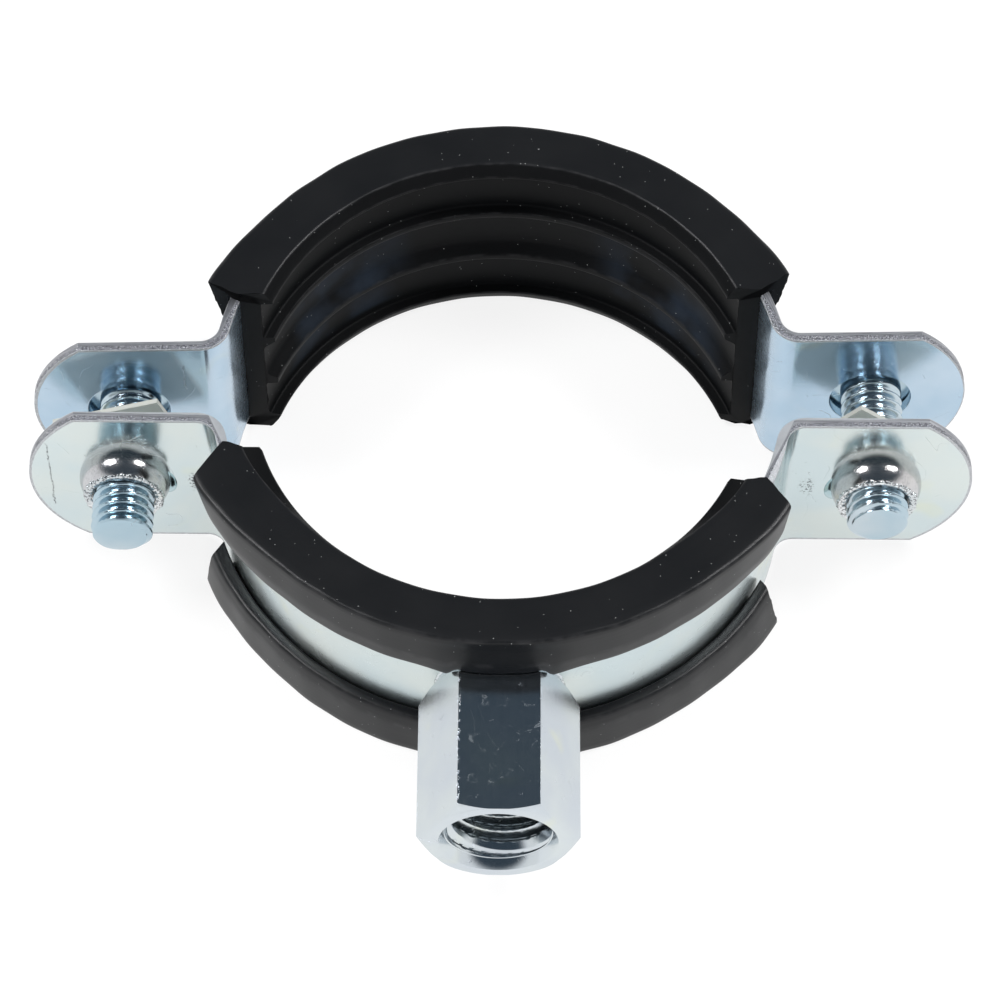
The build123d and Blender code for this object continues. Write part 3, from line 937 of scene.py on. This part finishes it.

# %% [markdown]
# The nut is turned from hexagon bar, so it is smoother, but it tumbled in a drum with
# thousands of others: its six arrises are dented, and the dents are painted bright as glints, a
# painted highlight. The distance to the nearest arris comes from the angle about the nut's axis,
# folded every sixty degrees.

# %% Zinc on the nut, the rims and the screws
def nut_finish():
    f, spots, colour, roughness, relief = plated(
        "zinc_nut", (0.63, 0.68, 0.69), (0.57, 0.62, 0.67), 0.11, (5.0, 0.2, 5.0), 0.3
    )
    x, y, z = f.parts(spots)
    turn = f.node("ShaderNodeMath", {"operation": "ARCTAN2"}, z, x)
    fold = f.node("ShaderNodeMath", {"operation": "PINGPONG"}, turn, radians(30))
    from_arris = x.hypot(z) * fold
    dent_and_glint = (1 - f.band(from_arris, 0.10, 0.26)) * f.band(f.noise(spots, 1.5, 5.0, 0.7), 0.53, 0.62)
    dent_and_glint = dent_and_glint * (1 - f.band(x, -1.0, 1.0) * 0.75)
    # Painted glints: the dents along the arrises are painted a bright bluish white.
    colour = f.blend(dent_and_glint * 0.8, colour, (0.80, 0.86, 0.95))
    scuff = f.band(f.noise(spots, 0.55, 5.0, 0.7, 1.4), 0.62, 0.72)
    haze = f.band(f.noise(spots, 1.1, 4.0, 0.6, 0.8), 0.60, 0.74)
    roughness = roughness + haze * 0.14
    roughness = roughness + dent_and_glint * 0.15 + scuff * 0.16
    bump = f.bump(relief - dent_and_glint * 1.2, 0.30, 0.04)
    return f.surface(Base_Color=colour, Roughness=roughness, Normal=bump, Metallic=1.0)


def bright_finish(name, pale, deep, rough, marks, grit=0.0, recess=False):
    f, spots, colour, roughness, relief = plated(name, pale, deep, rough, (4.0, 4.0, 4.0), marks)
    if grit:
        dark = f.band(f.noise(spots, 4.2, 3.0, 0.6), 0.50, 0.60) * grit
        colour = f.blend(dark, colour, (0.10, 0.105, 0.115))
        relief = relief - dark * 2.0
    # Painted shade: faces inside the drive recess are darkened.
    if recess:
        colour = f.blend(f.kept("recess") * 0.85, colour, (0.07, 0.08, 0.09))
    return f.surface(
        Base_Color=colour, Roughness=roughness, Normal=f.bump(relief, 0.25, 0.03), Metallic=1.0
    )


nut_zinc = nut_finish()
collar_zinc = bright_finish("zinc_collar", (0.64, 0.62, 0.61), (0.54, 0.55, 0.57), 0.13, 0.2, 0.12)
rim_zinc = bright_finish("zinc_rim", (0.80, 0.82, 0.83), (0.60, 0.64, 0.66), 0.16, 0.2, 0.75)
# Painted reflection: the lump is painted a darker teal than the strip's zinc, for the teal that it
# reflects.
lump_zinc_painted_teal = bright_finish("zinc_lump", (0.42, 0.58, 0.62), (0.48, 0.62, 0.66), 0.08, 0.0)
screw_zinc = bright_finish("zinc_screw", (0.54, 0.62, 0.67), (0.40, 0.53, 0.61), 0.14, 0.4,
                           recess=True)
for finish, pieces in (
    (collar_zinc, (left_collar, right_collar)), (rim_zinc, (left_rim, right_rim)),
    (lump_zinc_painted_teal, (left_lump, right_lump)), (nut_zinc, (hexagon, bore, weld)),
    (screw_zinc, (left_screw, right_screw)),
):
    for piece in pieces:
        piece.data.materials.append(finish)
print("zinc on 11 more pieces")

# %% [markdown]
# ## Grey washers
# The square washers are punched from a grey sheet. They are matt, with a fine grain. The faces
# look into the shade between the ears, so their colour is painted much lighter, painted light that
# brings them out as a middle grey; the punched edges, which face the light, are left a darker
# grey.

# %% Grey sheet
def washer_finish():
    f = Finish("grey_washer")
    spots = f.spots()
    grain = f.noise(spots, 4.0, 5.0, 0.65)
    wide = f.noise(spots, 0.4, 2.0, 0.5)
    # Painted light: the faces are painted a near white grey against the shade between the ears;
    # the edges get a darker grey.
    colour = f.blend(grain, (0.74, 0.755, 0.70), (0.84, 0.85, 0.80))
    colour = f.blend(f.band(wide, 0.45, 0.75) * 0.5, colour, (0.84, 0.85, 0.80))
    colour = f.blend(f.kept("edge") * 0.9, colour, (0.37, 0.38, 0.355))
    return f.surface(
        Base_Color=colour, Roughness=0.55 + grain * 0.2, Normal=f.bump(grain, 0.3, 0.03),
    )


washer_grey = washer_finish()
for piece in washers.values():
    piece.data.materials.append(washer_grey)
print("grey on", len(washers), "washers")

# %% [markdown]
# ## Floor, world and lamps
# The clamp lies on a white table. The camera and every reflection see the table as plain white,
# while a fifth of the floor's look stays an ordinary lit surface, so that the shadow remains.
# Overhead the room is dark, and that is what turns the top of bright metal slate blue.

# %% The table
def table_finish():
    f = Finish("white_table")
    f.fill(f.shader.inputs["Base Color"], (0.92, 0.92, 0.92))
    f.fill(f.shader.inputs["Roughness"], 0.9)
    seen, mirror, through = f.rays("Camera", "Glossy", "Transmission")
    white = f.node("ShaderNodeEmission", None, (1.0, 1.0, 1.0), 1.0)
    share = (seen + mirror + through).least(1.0) * 0.82
    mixed = f.node("ShaderNodeMixShader", None, share, Wire(f, f.shader.outputs[0]), white)
    f.tree.links.new(mixed.socket, f.tree.nodes["Material Output"].inputs["Surface"])
    return f.material


floor_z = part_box("front_liner")[0].z - 0.06 * mm
reach = 1.5
corners = [(-reach, -reach), (reach, -reach), (reach, reach), (-reach, reach)]
plane = bpy.data.meshes.new("table")
plane.from_pydata([(x, y, floor_z) for x, y in corners], [], [(0, 1, 2, 3)])
table = bpy.data.objects.new("table", plane)
bpy.context.scene.collection.objects.link(table)
table.data.materials.append(table_finish())
print("table at", round(floor_z / mm, 2), "mm")

# %% [markdown]
# Two soft lamps stand high behind the clamp, to the left and the right, and leave the pairs of
# small highlights on every round piece of metal. A third in front only fills the shade: it is
# left out of reflections, which would show it as a white square.

# %% The room and the lamps
def room():
    """The camera sees white. Reflections see white near the horizon and dark slate overhead.
    Everything else is lit by a plain grey."""
    world = bpy.data.worlds.new("room")
    bpy.context.scene.world = world
    f = Finish("room", world)
    seen, mirror = f.rays("Camera", "Glossy")
    sky = f.node("ShaderNodeTexCoord", output="Generated")
    height = f.node("ShaderNodeSeparateXYZ", None, sky, output="Z")
    overhead = f.band(height, 0.30, 0.62)
    reflected = f.blend(overhead, (1.0, 1.0, 1.0), (0.045, 0.065, 0.085))
    plain = f.blend(mirror, (0.62, 0.62, 0.62), reflected)
    background = f.tree.nodes["Background"]
    f.fill(background.inputs["Color"], f.blend(seen, plain, (1.0, 1.0, 1.0)))
    f.fill(background.inputs["Strength"], 1.0)


def soft_lamp(name, place, size, watts):
    """A square lamp that looks at the middle of the clamp."""
    lamp = bpy.data.lights.new(name, "AREA")
    lamp.shape, lamp.size, lamp.energy = "SQUARE", size, watts
    holder = bpy.data.objects.new(name, lamp)
    holder.location = place
    holder.rotation_euler = (-Vector(place)).to_track_quat("-Z", "Y").to_euler()
    bpy.context.scene.collection.objects.link(holder)
    return holder


room()
soft_lamp("left_lamp", (-0.50, 0.06, 0.70), 0.28, 5.0)
soft_lamp("right_lamp", (0.50, 0.10, 0.70), 0.28, 5.0)
fill = soft_lamp("front_lamp", (0.0, -0.75, 0.42), 0.40, 3.0)
fill.visible_glossy = False
bpy.context.scene.view_settings.view_transform = "Standard"
